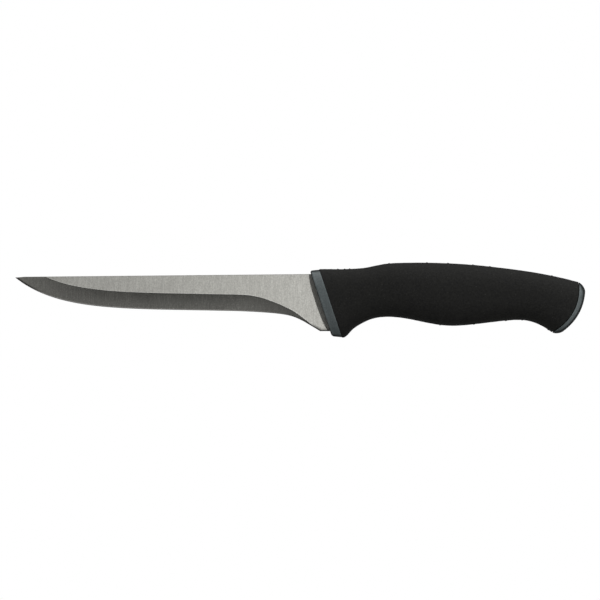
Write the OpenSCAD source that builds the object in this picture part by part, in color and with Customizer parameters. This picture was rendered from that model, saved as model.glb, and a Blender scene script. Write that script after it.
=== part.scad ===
// Boning knife: a narrow hollow-ground blade in a soft moulded handle.
//
// Millimetres. X runs along the knife, the tip at -X and the butt at +X. +Z is the spine side.
// Y is across the blade, whose mid-plane is Y = 0. The origin is the middle of the blade's height
// in the collar's front plane, where the blade enters the handle.
//
// Outline knots are [x, z, slope]. A smooth cubic joins each knot to the next one.

/* [Blade] */
// Length of blade in front of the collar, along the spine
blade_length = 152.4; // [130:0.1:180]
// Height of the blade ahead of the heel
blade_height = 18.7; // [16:0.1:21]
// Height of the blade at the collar
heel_height = 29.4; // [28:0.1:30]
// Thickness of the blade at its flats
blade_thickness = 1.8; // [1.7:0.1:2.4]
// Drop of the tip below the top of the heel
tip_drop = 1.8; // [0:0.1:4]

/* [Grind] */
// Width of the hollow-ground bevel
bevel_width = 8.5; // [6:0.1:10]
// Radius of the grinding wheel that hollows the bevel
wheel_radius = 73; // [60:1:200]
// Blade thickness behind the honed edge
web_thickness = 0.4; // [0.3:0.05:0.6]
// Width of the honed edge
honed_width = 0.6; // [0.4:0.1:1]
// Blade thickness at the honed edge itself
edge_thickness = 0.1; // [0.08:0.02:0.2]

/* [Tang] */
// How far the tang reaches into the handle
tang_length = 88; // [84:1:95]
// Thickness of the tang, a little less than the blade's
tang_thickness = 1.6; // [1.2:0.1:1.6]
// Height of the tang where it enters the collar
tang_front_height = 15; // [13:0.5:15]
// Height of the tang at its rear end
tang_rear_height = 10.5; // [9:0.5:12]

/* [Collar] */
// Lean of the collar from upright, its top towards the tip
collar_lean = 18.4; // [16:0.1:20]
// Thickness of the collar
collar_thickness = 4.8; // [4:0.1:5.5]
// Rounding of the collar's front rim
collar_rounding = 1.2; // [0.8:0.1:2]
// How far the soft grip stands proud of the collar
grip_step = 0.25; // [0.1:0.05:0.5]

/* [Handle] */
// Height of the soft grip's upper edge behind the collar, over the origin
grip_front_top = 17.2; // [16.8:0.1:18]
// Depth of the soft grip's lower edge behind the collar, under the origin
grip_front_bottom = 18.1; // [17.8:0.1:19]
// Thickness of the handle at its fullest, at the palm
palm_width = 23.2; // [21:0.1:26]
// Thickness of the handle behind the collar
neck_width = 18.2; // [17:0.1:20]
// Wall thickness of the soft grip
grip_wall = 2.5; // [2:0.1:3]
// Squareness of the handle's section, 2 being an ellipse
squareness = 2.35; // [2:0.05:2.8]

/* [Cap] */
// Height of the end cap's crown over the end of the core
cap_crown = 7.5; // [7:0.1:9]
// Share of the crown's height lost towards the spine and the edge side
crown_fall = 0.56; // [0.5:0.01:0.6]
// Height of the crown lost towards the left and right sides
crown_side_fall = 1.2; // [0.5:0.1:2]
// Fullness of the crown towards the spine side
crown_skew = 0.05; // [0:0.01:0.1]
// Bulge of the joint between grip and cap
joint_bulge = 4.5; // [3:0.1:5]
// Share of the cap's half width taken by its rounded rim
rim_share = 0.22; // [0.1:0.01:0.3]

/* [Rivets] */
// Diameter of a rivet's shank
rivet_diameter = 4; // [3:0.5:5]
// Diameter of a rivet's head
rivet_head = 7; // [6:0.5:8]
// Length of a rivet over both heads
rivet_length = 12; // [11:0.5:12]
// Distance between two rivets
rivet_spacing = 27; // [24:1:28]

/* [Fineness] */
// Lofted steps from one outline knot to the next
knot_steps = 5; // [4:1:7]
// Points around the handle, a multiple of four
ring_points = 32; // [24:4:40]
// Steps along each stretch of the cutting edge
edge_steps = 16; // [10:1:22]

/* [Hidden] */
$fn = 48;

// Clearance all round the tang and the rivets in their holes
fit_gap = 0.1;

steel = [0.76, 0.75, 0.72];
rivet_steel = [0.62, 0.62, 0.63];
hard_grey = [0.33, 0.36, 0.38];
core_grey = [0.45, 0.47, 0.48];
soft_black = [0.11, 0.11, 0.11];

// Blade outline. The spine runs straight from the collar to the nose, which falls to the tip.
heel_top = [-heel_height / 2 * tan(collar_lean), heel_height / 2];
heel_bottom = -heel_top;
tip = heel_top - [blade_length, tip_drop];
nose = tip + [5, 0.4];
reach = -tip.x;
ramp_slope = -0.6;
ramp_end = [-0.2, heel_bottom.y];
ramp_start = ramp_end - 8 * [1, ramp_slope];

// Cutting edge: a curved belly from the tip, then the sweep down into the heel's straight ramp.
belly_end = -0.262 * reach;
edge_level = heel_top.y - blade_height - tip_drop * (heel_top.x - belly_end) / blade_length;
belly = [
    tip,
    [-0.851 * reach, edge_level - 1.0],
    [-0.642 * reach, edge_level + 1.6],
    [belly_end, edge_level]
];
heel_sweep = [
    belly[3],
    [-0.101 * reach, edge_level - 1.1],
    ramp_start - 6.5 * [1, 0.85 * ramp_slope],
    ramp_start
];

// Width of the bevel at x. It is even along the belly and runs out on the heel's ramp.
bevel_knots = [
    [-0.25 * reach, bevel_width, 0],
    [-9, 1.3, -0.2]
];

// Handle outline over and under, from the collar's rear plane to the cap. Knots pair up across
// the handle.
collar_shift = collar_thickness / cos(collar_lean);
top_knots = [
    [collar_shift - grip_front_top * tan(collar_lean), grip_front_top, 0.02],
    [8, 17.2, -0.02],
    [20, 17.6, 0.06],
    [36, 20.2, 0.05],
    [66, 20.2, -0.04],
    [100, 17.0, -0.13],
    [133.2, 10.4, -0.28]
];
bottom_knots = [
    [collar_shift + grip_front_bottom * tan(collar_lean), -grip_front_bottom, 0],
    [15, -15.5, 1.2],
    [22, -10.3, 0.55],
    [34, -7.3, 0.02],
    [68.5, -11.9, 0.02],
    [102, -8.9, 0.02],
    [119.4, -15.4, -0.75]
];
// Half the handle's thickness, as [x, half width, slope]
side_knots = [
    [-10, neck_width / 2, 0],
    [20, neck_width / 2 + 0.1, 0.03],
    [64, palm_width / 2, 0],
    [104, palm_width / 2 - 1.1, 0],
    [135, palm_width / 2 - 0.6, 0.01]
];

// The tang's centre line falls a little from the collar to its rear end. It starts inside the
// blade, ahead of the collar.
tang_level = 5;
tang_fall = 1;
tang_root = -4;

rivet_first_x = 21;
rivet_count = 3;
rivet_head_thickness = 1.2;

// ---- Curves ----

function bezier(p, t) =
    p[0] * pow(1 - t, 3) + p[1] * 3 * t * pow(1 - t, 2) + p[2] * 3 * t * t * (1 - t) + p[3] * pow(t, 3);

function bezier_tangent(p, t) =
    let (d = (p[1] - p[0]) * pow(1 - t, 2) + (p[2] - p[1]) * 2 * t * (1 - t) + (p[3] - p[2]) * t * t)
    d / norm(d);

// Height of the cubic from knot a to knot b, at the fraction t of the way
function knot_height(a, b, t) =
    let (run = b[0] - a[0])
    a[1] * (1 - 3 * t * t + 2 * t * t * t) + b[1] * (3 * t * t - 2 * t * t * t)
    + run * (a[2] * (t - 2 * t * t + t * t * t) + b[2] * (t * t * t - t * t));

function between(a, b, t) = [a[0] + (b[0] - a[0]) * t, knot_height(a, b, t)];

// Value at x of the curve through a list of knots, held level beyond its ends
function value_at(knots, x, i = 0) =
    x <= knots[0][0] ? knots[0][1]
    : i > len(knots) - 2 ? knots[len(knots) - 1][1]
    : x <= knots[i + 1][0]
        ? knot_height(knots[i], knots[i + 1], (x - knots[i][0]) / (knots[i + 1][0] - knots[i][0]))
    : value_at(knots, x, i + 1);

function signed_power(v, p) = sign(v) * pow(abs(v), p);

// Point at height z in the leaning plane that lies shift behind the collar's front plane
function leaning_point(z, shift = 0) = [shift - z * tan(collar_lean), z];

// ---- Lofting ----

// Joins rings of equally many points into one solid, closed by its first and last ring.
module loft(rings) {
    n = len(rings[0]);
    last = len(rings) - 1;
    polyhedron(
        points = [for (ring = rings) each ring],
        faces = [
            [for (k = [0 : n - 1]) k],
            for (i = [0 : last - 1], k = [0 : n - 1]) each [
                [i * n + k, (i + 1) * n + k, i * n + (k + 1) % n],
                [i * n + (k + 1) % n, (i + 1) * n + k, (i + 1) * n + (k + 1) % n]
            ],
            [for (k = [n - 1 : -1 : 0]) last * n + k]
        ]
    );
}

// Joins rings into one tube whose last ring meets its first, so that it has an open middle.
module loft_tube(rings) {
    n = len(rings[0]);
    m = len(rings);
    polyhedron(
        points = [for (ring = rings) each ring],
        faces = [
            for (i = [0 : m - 1], k = [0 : n - 1]) each [
                [i * n + k, (i + 1) % m * n + k, i * n + (k + 1) % n],
                [i * n + (k + 1) % n, (i + 1) % m * n + k, (i + 1) % m * n + (k + 1) % n]
            ]
        ]
    );
}

// One ring round the handle between a top and a bottom point of its side outline. Its points are
// at the shares s of the way up and q of the way across, each from -1 to 1. inset shrinks the ring
// and bulge moves its middle towards the butt.
function handle_ring(top, bottom, half_width, inset = 0, bulge = 0, angles = ring_angles()) =
    let (
        middle = (top + bottom) / 2,
        half = norm(top - bottom) / 2,
        up = (top - middle) / half,
        rear = [up.y, -up.x]
    )
    [for (a = angles) let (
        s = signed_power(sin(a), 2 / squareness),
        q = signed_power(cos(a), 2 / squareness),
        p = middle + up * (half - inset) * s + rear * bulge * (1 - s * s)
    ) [p.x, q * (half_width - inset), p.y]];

function ring_angles() = [for (k = [0 : ring_points - 1]) 360 * k / ring_points];

// The angles of half a ring, on the side of the blade that side (1 or -1) names
function half_ring_angles(side) =
    [for (k = [0 : ring_points / 2]) (side > 0 ? -90 : 90) + 360 * k / ring_points];

// Rings of the handle's outer skin, or of a skin inset from it, from the collar to the cap. A bulge
// grows over the last outline stretch.
function handle_rings(inset = 0, bulge = 0, angles = ring_angles()) =
    let (stretches = len(top_knots) - 1)
    [for (i = [0 : stretches - 1], j = [(i == 0 ? 0 : 1) : knot_steps]) let (
        t = j / knot_steps,
        top = between(top_knots[i], top_knots[i + 1], t),
        bottom = between(bottom_knots[i], bottom_knots[i + 1], t),
        side = value_at(side_knots, (top.x + bottom.x) / 2),
        share = i == stretches - 1 ? t * t * (3 - 2 * t) : 0
    ) handle_ring(top, bottom, side, inset, bulge * share, angles)];

// The ring at the handle's rear end
function end_ring(inset, bulge = 0) =
    let (top = outline_end(top_knots), bottom = outline_end(bottom_knots))
    handle_ring(top, bottom, value_at(side_knots, (top.x + bottom.x) / 2), inset, bulge);

function outline_end(knots) =
    let (last = knots[len(knots) - 1])
    [last[0], last[1]];

// ---- Blade ----

module upright_plate(points, thickness) {
    rotate([90, 0, 0])
        linear_extrude(thickness, center = true)
            polygon(points);
}

function edge_fractions() = [for (i = [0 : edge_steps]) i / edge_steps];

module blade_blank() {
    upright_plate(
        concat(
            [heel_top, nose],
            [for (t = edge_fractions()) bezier(belly, t)],
            [for (t = edge_fractions()) if (t > 0) bezier(heel_sweep, t)],
            [ramp_end, heel_bottom]
        ),
        blade_thickness
    );
}

// Depth of the hollow grind at the distance d in from the grind line
function grind_depth(d) =
    let (full = (blade_thickness - web_thickness) / 2)
    d * (full / bevel_width + bevel_width / (2 * wheel_radius)) - d * d / (2 * wheel_radius);

// Depth at the cutting edge, where the bevel is w wide. A bevel that runs out isn't honed.
function honed_depth(w) =
    grind_depth(w) + (web_thickness - edge_thickness) / 2 * min(1, w / bevel_width);

// One row of the grinding cutter, square to the edge at a point whose tangent is given, where the
// bevel is w wide. It starts on the flat just above the grind line, follows the hollow to the edge,
// and closes outside the blade. Its corners are [distance in from the grind line, y].
function grind_row(point, tangent, w, lift = 0) =
    let (
        up = [-tangent.y, tangent.x],
        lead = 0.3,
        overcut = 1.5,
        skin = blade_thickness / 2 + lift,
        outside = skin + overcut,
        hollow = w - min(honed_width, w / 5)
    )
    [for (corner = [
        for (d = [-lead, 0, w / 4, w / 2, w * 3 / 4, hollow]) [d, skin - grind_depth(d)],
        [w, skin - honed_depth(w)],
        [w + overcut, skin - honed_depth(w)],
        [w + overcut, outside],
        [-lead, outside]
    ]) let (p = point + up * (w - corner[0])) [p.x, corner[1], p.y]];

function grind_row_on(curve, t) =
    let (p = bezier(curve, t))
    grind_row(p, bezier_tangent(curve, t), value_at(bevel_knots, p.x));

// The space that the grinding wheel takes from the +Y side of the blade. It starts past the tip and
// lifts off the steel at the heel.
module hollow_grind() {
    run_out = 2;
    lift_off = 0.4;
    tip_tangent = bezier_tangent(belly, 0);
    heel_tangent = bezier_tangent(heel_sweep, 1);
    heel_width = value_at(bevel_knots, ramp_start.x);
    loft(concat(
        [grind_row(tip - run_out * tip_tangent, tip_tangent, bevel_width)],
        [for (t = edge_fractions()) grind_row_on(belly, t)],
        [for (t = edge_fractions()) if (t > 0) grind_row_on(heel_sweep, t)],
        [grind_row(ramp_start + run_out * heel_tangent, heel_tangent, heel_width, lift_off)]
    ));
}

// The tang, or with a gap the pocket that it fits in
module tang_plate(gap = 0) {
    front_half = tang_front_height / 2 + gap;
    rear_half = tang_rear_height / 2 + gap;
    upright_plate(
        [
            leaning_point(tang_level - front_half, tang_root),
            [tang_length + gap, tang_level - tang_fall - rear_half],
            [tang_length + gap, tang_level - tang_fall + rear_half],
            leaning_point(tang_level + front_half, tang_root)
        ],
        tang_thickness + 2 * gap
    );
}

module rivet_row(diameter, length) {
    for (i = [0 : rivet_count - 1])
        translate([rivet_first_x + i * rivet_spacing, 0, tang_level])
            rotate([90, 0, 0])
                cylinder(d = diameter, h = length, center = true);
}

module blade() {
    color(steel)
        difference() {
            union() {
                difference() {
                    blade_blank();
                    hollow_grind();
                    mirror([0, 1, 0]) hollow_grind();
                }
                tang_plate();
            }
            rivet_row(rivet_diameter + fit_gap, 2 * tang_thickness);
        }
}

// ---- Handle ----

// A disc that flares a little from its front to the grip behind it, with a rounded front rim
module front_collar() {
    front_taper = 0.5;
    front = [
        leaning_point(grip_front_top - grip_step - front_taper),
        leaning_point(grip_step + front_taper - grip_front_bottom)
    ];
    rear = [
        leaning_point(grip_front_top - grip_step, collar_shift),
        leaning_point(grip_step - grip_front_bottom, collar_shift)
    ];
    rear_half_width = neck_width / 2 - grip_step;
    rim_rings = 4;
    function ring_at(depth, inset) =
        let (f = depth / collar_thickness)
        handle_ring(
            front[0] * (1 - f) + rear[0] * f,
            front[1] * (1 - f) + rear[1] * f,
            rear_half_width - front_taper * (1 - f),
            inset
        );
    color(hard_grey)
        difference() {
            loft(concat(
                [for (i = [0 : rim_rings - 1]) let (a = 90 * i / rim_rings)
                    ring_at(collar_rounding * (1 - cos(a)), collar_rounding * (1 - sin(a)))],
                [ring_at(collar_rounding, 0), ring_at(collar_thickness, 0)]
            ));
            tang_plate(fit_gap);
        }
}

// Half of the hard core, with its share of the tang's pocket, and the rivets' holes and head seats
module core_half(side) {
    head_seat = rivet_length / 2 - rivet_head_thickness;
    color(core_grey)
        difference() {
            loft(handle_rings(grip_wall, 0, half_ring_angles(side)));
            tang_plate(fit_gap);
            rivet_row(rivet_diameter + fit_gap, palm_width);
            translate([0, side * (head_seat + palm_width / 2), 0])
                rivet_row(rivet_head + fit_gap, palm_width);
        }
}

module core_left() {
    core_half(-1);
}

module core_right() {
    core_half(1);
}

module tang_rivets() {
    color(rivet_steel)
        union() {
            rivet_row(rivet_diameter, rivet_length);
            for (side = [-1, 1])
                translate([0, side * (rivet_length - rivet_head_thickness) / 2, 0])
                    rivet_row(rivet_head, rivet_head_thickness);
        }
}

// A sleeve from the collar to the cap, which it meets in a bulging joint
module soft_grip() {
    outer = handle_rings(0, joint_bulge);
    inner = concat(handle_rings(grip_wall), [end_ring(grip_wall, joint_bulge)]);
    color(soft_black)
        loft_tube(concat(outer, [for (i = [len(inner) - 1 : -1 : 0]) inner[i]]));
}

// The cap's plug fills the grip's mouth down to the core. Its rim is a quarter round between the
// handle's skin and the crown.
module end_cap() {
    rim_rings = 5;
    crown_rings = 5;
    crown_end = 0.05;
    skin = end_ring(0);
    middle = (skin[ring_points / 4] + skin[ring_points * 3 / 4]) / 2;
    up = skin[ring_points / 4] - middle;
    across = skin[0] - middle;
    rear = [up.z, 0, -up.x] / norm(up);
    // A ring at the share f of the cap's size, risen by the share r of the way from joint to crown
    function cap_ring(f, r) = [for (a = ring_angles()) let (
        s = f * signed_power(sin(a), 2 / squareness),
        q = f * signed_power(cos(a), 2 / squareness),
        joint = joint_bulge * (1 - s * s),
        crown = cap_crown * (1 - crown_fall * s * s + crown_skew * s) - crown_side_fall * q * q
    ) middle + up * s + across * q + rear * (joint + (crown - joint) * r)];
    color(hard_grey)
        loft(concat(
            [end_ring(grip_wall), end_ring(grip_wall, joint_bulge)],
            [for (i = [0 : rim_rings]) let (a = 90 * i / rim_rings)
                cap_ring(1 - rim_share * (1 - cos(a)), sin(a))],
            [for (i = [1 : crown_rings]) let (t = i / crown_rings)
                cap_ring((1 - rim_share) * (1 - t) + crown_end * t, 1)]
        ));
}

blade();
front_collar();
core_left();
core_right();
tang_rivets();
soft_grip();
end_cap();
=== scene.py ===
"""Boning knife: the visible pieces, their materials, and a plain studio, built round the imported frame.

Metres, in the frame of the CAD model: the tip at -X, the butt at +X, the spine at +Z, and the blade's
mid-plane at Y = 0. Outlines are read from the CAD nodes, so the pieces keep their sizes and places.
"""

import math

import bmesh
import bpy
import numpy as np
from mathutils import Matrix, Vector, noise


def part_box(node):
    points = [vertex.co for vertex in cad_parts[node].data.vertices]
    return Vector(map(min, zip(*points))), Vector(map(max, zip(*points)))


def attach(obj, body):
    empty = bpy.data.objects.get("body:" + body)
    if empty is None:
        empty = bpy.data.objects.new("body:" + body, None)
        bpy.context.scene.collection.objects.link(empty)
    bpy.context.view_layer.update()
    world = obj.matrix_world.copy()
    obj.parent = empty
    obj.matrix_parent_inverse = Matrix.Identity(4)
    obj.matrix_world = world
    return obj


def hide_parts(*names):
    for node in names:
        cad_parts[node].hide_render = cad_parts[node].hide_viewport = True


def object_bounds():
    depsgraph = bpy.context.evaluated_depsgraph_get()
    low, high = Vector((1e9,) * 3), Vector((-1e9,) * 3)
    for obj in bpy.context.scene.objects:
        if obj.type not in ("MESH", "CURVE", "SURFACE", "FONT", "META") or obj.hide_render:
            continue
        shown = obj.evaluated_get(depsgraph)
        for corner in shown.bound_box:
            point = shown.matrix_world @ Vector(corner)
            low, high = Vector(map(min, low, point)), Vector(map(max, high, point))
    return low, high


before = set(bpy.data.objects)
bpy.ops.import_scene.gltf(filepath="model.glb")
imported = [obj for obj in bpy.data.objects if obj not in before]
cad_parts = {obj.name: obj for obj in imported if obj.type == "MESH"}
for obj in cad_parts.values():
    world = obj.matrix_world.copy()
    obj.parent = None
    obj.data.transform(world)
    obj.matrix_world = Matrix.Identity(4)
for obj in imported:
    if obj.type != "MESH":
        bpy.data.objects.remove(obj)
cad_low, cad_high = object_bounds()

MM = 0.001

# Blade grind, as on the CAD blade
BLADE_THICKNESS = 1.8 * MM
BEVEL_WIDTH = 8.5 * MM
WHEEL_RADIUS = 73 * MM
WEB_THICKNESS = 0.4 * MM
EDGE_THICKNESS = 0.1 * MM
HONED_WIDTH = 0.6 * MM

# Where the bevel is narrower than this, the blade is blunt, with rounded corners
BLUNT_BELOW = 2 * MM
CORNER_ROUNDING = 0.22 * MM

# Rows of the blade's mesh across the honed facet and across the spine's rounding, as shares of them
HONED_ROWS = (0.0, 0.1, 0.25, 0.6, 1.0)
SPINE_ROWS = (1.0, 0.6, 0.3, 0.1, 0.0)

# Marks on the steel: the painted highlight and painted shade along the line between flat and bevel, the
# painted shade on the rim of the blunt heel and of the tip (between two shares of the blade's length),
# the painted shade along the edge, the darkening where the bevel is narrower by up to a range, and the
# painted shade in the corner by the collar
CREST_WIDTH = 0.3 * MM
RIM_SHADE_WIDTH = 1.1 * MM
SHADED_TIP = (0.8917, 0.9583)
TIP_SHADE = 0.8
EDGE_SHADE_WIDTH = 0.4 * MM
EDGE_SHADE_STRENGTH = 0.5
NARROW_DARKENING_RANGE = 5.5 * MM
CORNER_SHADE_WIDTH = 2.6 * MM

# Collar, and the pocket in it for the tang
COLLAR_LEAN = math.radians(18.4)
COLLAR_THICKNESS = 4.8 * MM
COLLAR_ROUNDING = 1.2 * MM
COLLAR_TAPER = 0.5 * MM
COLLAR_LIP = 0.15 * MM
COLLAR_SIDE_DARKENING = 0.2
GRIP_STEP = 0.25 * MM
POCKET_THICKNESS = 1.8 * MM
POCKET_HEIGHT = 15.2 * MM
POCKET_LEVEL = 5 * MM
POCKET_FRONT = -4 * MM
POCKET_REAR = 12 * MM

# Handle section and wall, and the cap's crown, as on the CAD handle
SQUARENESS = 2.35
GRIP_WALL = 2.5 * MM
JOINT_BULGE = 4.5 * MM
BULGING_PLACES = 5
CAP_CROWN = 7.5 * MM
CROWN_FALL = 0.56
CROWN_SIDE_FALL = 1.2 * MM
CROWN_SKEW = 0.05
RIM_SHARE = 0.22

# Rounding of the lips where grip and cap meet
GRIP_LIP = 0.3 * MM
CAP_LIP = 0.2 * MM
JOINT_GAP = 0.3 * MM

# Parting line of the grip's mould, and the places of the nibs of flash on it
RIDGE_HEIGHT = 0.05 * MM
RIDGE_WIDTH = 0.16 * MM
NIB_HEIGHT = 0.3 * MM
NIB_LENGTH = 0.3 * MM
TOP_NIBS = np.array([9.0, 12.5, 15.0, 35.3, 54.8, 65.7, 78.5, 87.3, 119.2]) * MM
BOTTOM_NIBS = np.array([61.5, 79.0, 95.5, 103.8, 117.2]) * MM

# Small round key lamps, before and behind the knife: degrees, metres and watts
KEY_AZIMUTH = 22.8
KEY_ELEVATION = -4
KEY_DISTANCE = 0.98
KEY_POWER = 15.8
KEY_WIDTH = 2.5

# Broad sun lamp over the handle, in degrees
OVERHEAD_AZIMUTH = 20
OVERHEAD_ELEVATION = 72
OVERHEAD_STRENGTH = 2.4
OVERHEAD_WIDTH = 70

# Camera: lens and sensor in millimetres, the width shown at the knife, and how far it looks off the
# knife's middle
LENS = 1000
SENSOR_WIDTH = 36
FRAME_WIDTH = 309 * MM
CAMERA_SHIFT = Vector((-0.065, 0, 0.1244)) * MM


# ---- Reading the frame ----


def node_triangles(node):
    """The CAD node's triangles as an array of (triangle, corner, axis)."""
    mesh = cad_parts[node].data
    mesh.calc_loop_triangles()
    points = np.array([v.co for v in mesh.vertices], float)
    corners = np.array([t.vertices for t in mesh.loop_triangles], int)
    return points[corners]


def slice_points(triangles, x):
    """Points where the plane at x cuts the triangles' edges, as (y, z)."""
    starts = triangles.reshape(-1, 3)
    ends = triangles[:, [1, 2, 0]].reshape(-1, 3)
    crossing = (starts[:, 0] - x) * (ends[:, 0] - x) <= 0
    crossing &= starts[:, 0] != ends[:, 0]
    starts, ends = starts[crossing], ends[crossing]
    share = (x - starts[:, 0]) / (ends[:, 0] - starts[:, 0])
    return starts[:, 1:] + share[:, None] * (ends[:, 1:] - starts[:, 1:])


def outline_points(node, side, low, high, reach=1.0):
    """Vertices on a node's upper (side 1) or lower (side -1) outline between two x, as (x, z)."""
    triangles = node_triangles(node)
    points = np.unique(triangles.reshape(-1, 3).round(7), axis=0)
    points = points[np.abs(points[:, 1]) <= reach]
    points = points[(points[:, 0] >= low - 1e-6) & (points[:, 0] <= high + 1e-6)]
    found = []
    for x in np.unique(points[:, 0]):
        highest = (points[points[:, 0] == x][:, 2] * side).max()
        inside = min(max(x, low + 1e-6), high - 1e-6)
        limit = (slice_points(triangles, inside)[:, 1] * side).max()
        if highest > limit - 2e-5:
            found.append((x, highest * side))
    return np.array(found)


class Curve:
    """A smooth curve through points in order of x, kept sharp where it turns by more than sharp."""

    def __init__(self, x, z, sharp=math.radians(12)):
        self.x, self.z = np.array(x, float), np.array(z, float)
        runs = np.diff(self.x)
        slopes = np.diff(self.z) / runs
        turns = np.abs(np.diff(np.arctan(slopes)))
        blended = (slopes[:-1] * runs[1:] + slopes[1:] * runs[:-1]) / (runs[1:] + runs[:-1])
        before = np.where(turns > sharp, slopes[:-1], blended)
        after = np.where(turns > sharp, slopes[1:], blended)
        self.before = np.concatenate([slopes[:1], before, slopes[-1:]])
        self.after = np.concatenate([slopes[:1], after, slopes[-1:]])
        self.corners = self.x[1:-1][turns > sharp]

    def __call__(self, x):
        x = np.clip(np.asarray(x, float), self.x[0], self.x[-1])
        i = np.clip(np.searchsorted(self.x, x, side="right") - 1, 0, len(self.x) - 2)
        run = self.x[i + 1] - self.x[i]
        t = (x - self.x[i]) / run
        level = self.z[i] * (1 - 3 * t**2 + 2 * t**3) + self.z[i + 1] * (3 * t**2 - 2 * t**3)
        lean = self.after[i] * (t - 2 * t**2 + t**3) + self.before[i + 1] * (t**3 - t**2)
        return level + run * lean


# ---- Mesh helpers ----


def link_object(name, build):
    """Turns a bmesh into an object in the scene."""
    mesh = bpy.data.meshes.new(name)
    build.to_mesh(mesh)
    build.free()
    made = bpy.data.objects.new(name, mesh)
    bpy.context.scene.collection.objects.link(made)
    return made


def make_piece(name, build, slot, *replaced):
    """A named piece of the knife, which rides on its one body."""
    piece = link_object(name, build)
    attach(piece, "root")
    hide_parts(*replaced)
    return piece


def combine(piece, helper, operation):
    """Joins the helper to the piece, or cuts it out, and removes the helper."""
    modifier = piece.modifiers.new("combine", "BOOLEAN")
    modifier.operation = operation
    modifier.solver = "EXACT"
    modifier.object = helper
    graph = bpy.context.evaluated_depsgraph_get()
    mesh = bpy.data.meshes.new_from_object(piece.evaluated_get(graph))
    piece.modifiers.clear()
    piece.data = mesh
    bpy.data.objects.remove(helper)


def new_build():
    """An empty bmesh whose vertices can carry wear and painted light."""
    build = bmesh.new()
    build.verts.layers.float.new("wear_and_painted_light")
    return build


def add_ring(build, points, wear_and_painted_light=0.0):
    """A ring of vertices, all with the same wear and painted light."""
    layer = build.verts.layers.float["wear_and_painted_light"]
    ring = [build.verts.new(p) for p in points]
    for vert in ring:
        vert[layer] = wear_and_painted_light
    return ring


def bridge(build, near, far):
    """Quads between two rings of equally many vertices."""
    for k in range(len(near)):
        j = (k + 1) % len(near)
        build.faces.new([near[k], near[j], far[j], far[k]])


def bridge_all(build, rings):
    """Quads between each ring and the next."""
    for near, far in zip(rings, rings[1:]):
        bridge(build, near, far)


def close_ring(build, ring):
    """Closes a ring with a fan of triangles round its middle."""
    centre = sum((v.co for v in ring), Vector()) / len(ring)
    middle = build.verts.new(centre)
    for k in range(len(ring)):
        build.faces.new([ring[k], ring[(k + 1) % len(ring)], middle])


def shade(build, sharp_angle=math.radians(40)):
    """Turns faces outward and smooths them, with sharp edges over the angle."""
    bmesh.ops.recalc_face_normals(build, faces=build.faces)
    for face in build.faces:
        face.smooth = True
    for edge in build.edges:
        edge.smooth = edge.smooth and edge.calc_face_angle(0.0) < sharp_angle


# ---- Blade ----


def edge_distance(points, line):
    """Distance from each point to a polyline, and the x of its nearest place on it."""
    start, run = line[:-1], line[1:] - line[:-1]
    rel = points[:, None, :] - start[None]
    share = np.clip((rel * run[None]).sum(2) / (run**2).sum(1)[None], 0, 1)
    foot = start[None] + share[..., None] * run[None]
    gap = np.sqrt(((points[:, None, :] - foot) ** 2).sum(2))
    best = gap.argmin(1)
    pick = np.arange(len(points))
    return gap[pick, best], foot[pick, best, 0]


def bevel_width_at(x):
    """Width of the bevel over the cutting edge at x: even along the belly, run out on the heel."""
    full_until = 0.25 * cad_low.x
    narrow_from = -9 * MM
    gone_at = -2.5 * MM
    narrow = 1.3 * MM
    narrow_slope = -0.2
    run_out_power = 0.8
    run = narrow_from - full_until
    t = np.clip((x - full_until) / run, 0, 1)
    width = BEVEL_WIDTH * (1 - 3 * t**2 + 2 * t**3) + narrow * (3 * t**2 - 2 * t**3)
    width += run * narrow_slope * (t**3 - t**2)
    return width * np.clip((gone_at - x) / (gone_at - narrow_from), 0, 1) ** run_out_power


def grind_depth(d):
    """Depth of the hollow at the distance d in from the grind line."""
    full = (BLADE_THICKNESS - WEB_THICKNESS) / 2
    return d * (full / BEVEL_WIDTH + BEVEL_WIDTH / (2 * WHEEL_RADIUS)) - d**2 / (2 * WHEEL_RADIUS)


def rounded(distance, radius):
    """Depth taken off near a boundary by rounding its corner."""
    inside = np.clip(radius - distance, 0, radius)
    return radius - np.sqrt(radius**2 - inside**2)


def half_thickness(points, edge_line, spine_line):
    """Half the blade's thickness at each point (x, z)."""
    from_edge, edge_x = edge_distance(points, edge_line)
    from_spine, _ = edge_distance(points, spine_line)
    width = bevel_width_at(edge_x)
    depth = grind_depth(np.clip(width - from_edge, 0, None))
    honing = np.clip(1 - from_edge / HONED_WIDTH, 0, 1) * (WEB_THICKNESS - EDGE_THICKNESS) / 2
    depth += honing * np.clip(width / BEVEL_WIDTH, 0, 1)
    depth += rounded(from_edge, CORNER_ROUNDING) * np.clip(1 - width / BLUNT_BELOW, 0, 1)
    depth += rounded(from_spine, CORNER_ROUNDING)
    return np.clip(BLADE_THICKNESS / 2 - depth, EDGE_THICKNESS / 2, None)


def crest_distance(starts, ends, edge_line, halvings=30):
    """How far along each row, from edge to spine, its bevel ends."""
    low = np.zeros(len(starts))
    high = np.linalg.norm(ends - starts, axis=1)
    ahead = (ends - starts) / np.maximum(high, 1e-9)[:, None]
    for _ in range(halvings):
        middle = (low + high) / 2
        gap, edge_x = edge_distance(starts + ahead * middle[:, None], edge_line)
        inside = gap < bevel_width_at(edge_x)
        low = np.where(inside, middle, low)
        high = np.where(inside, high, middle)
    return high


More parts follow.
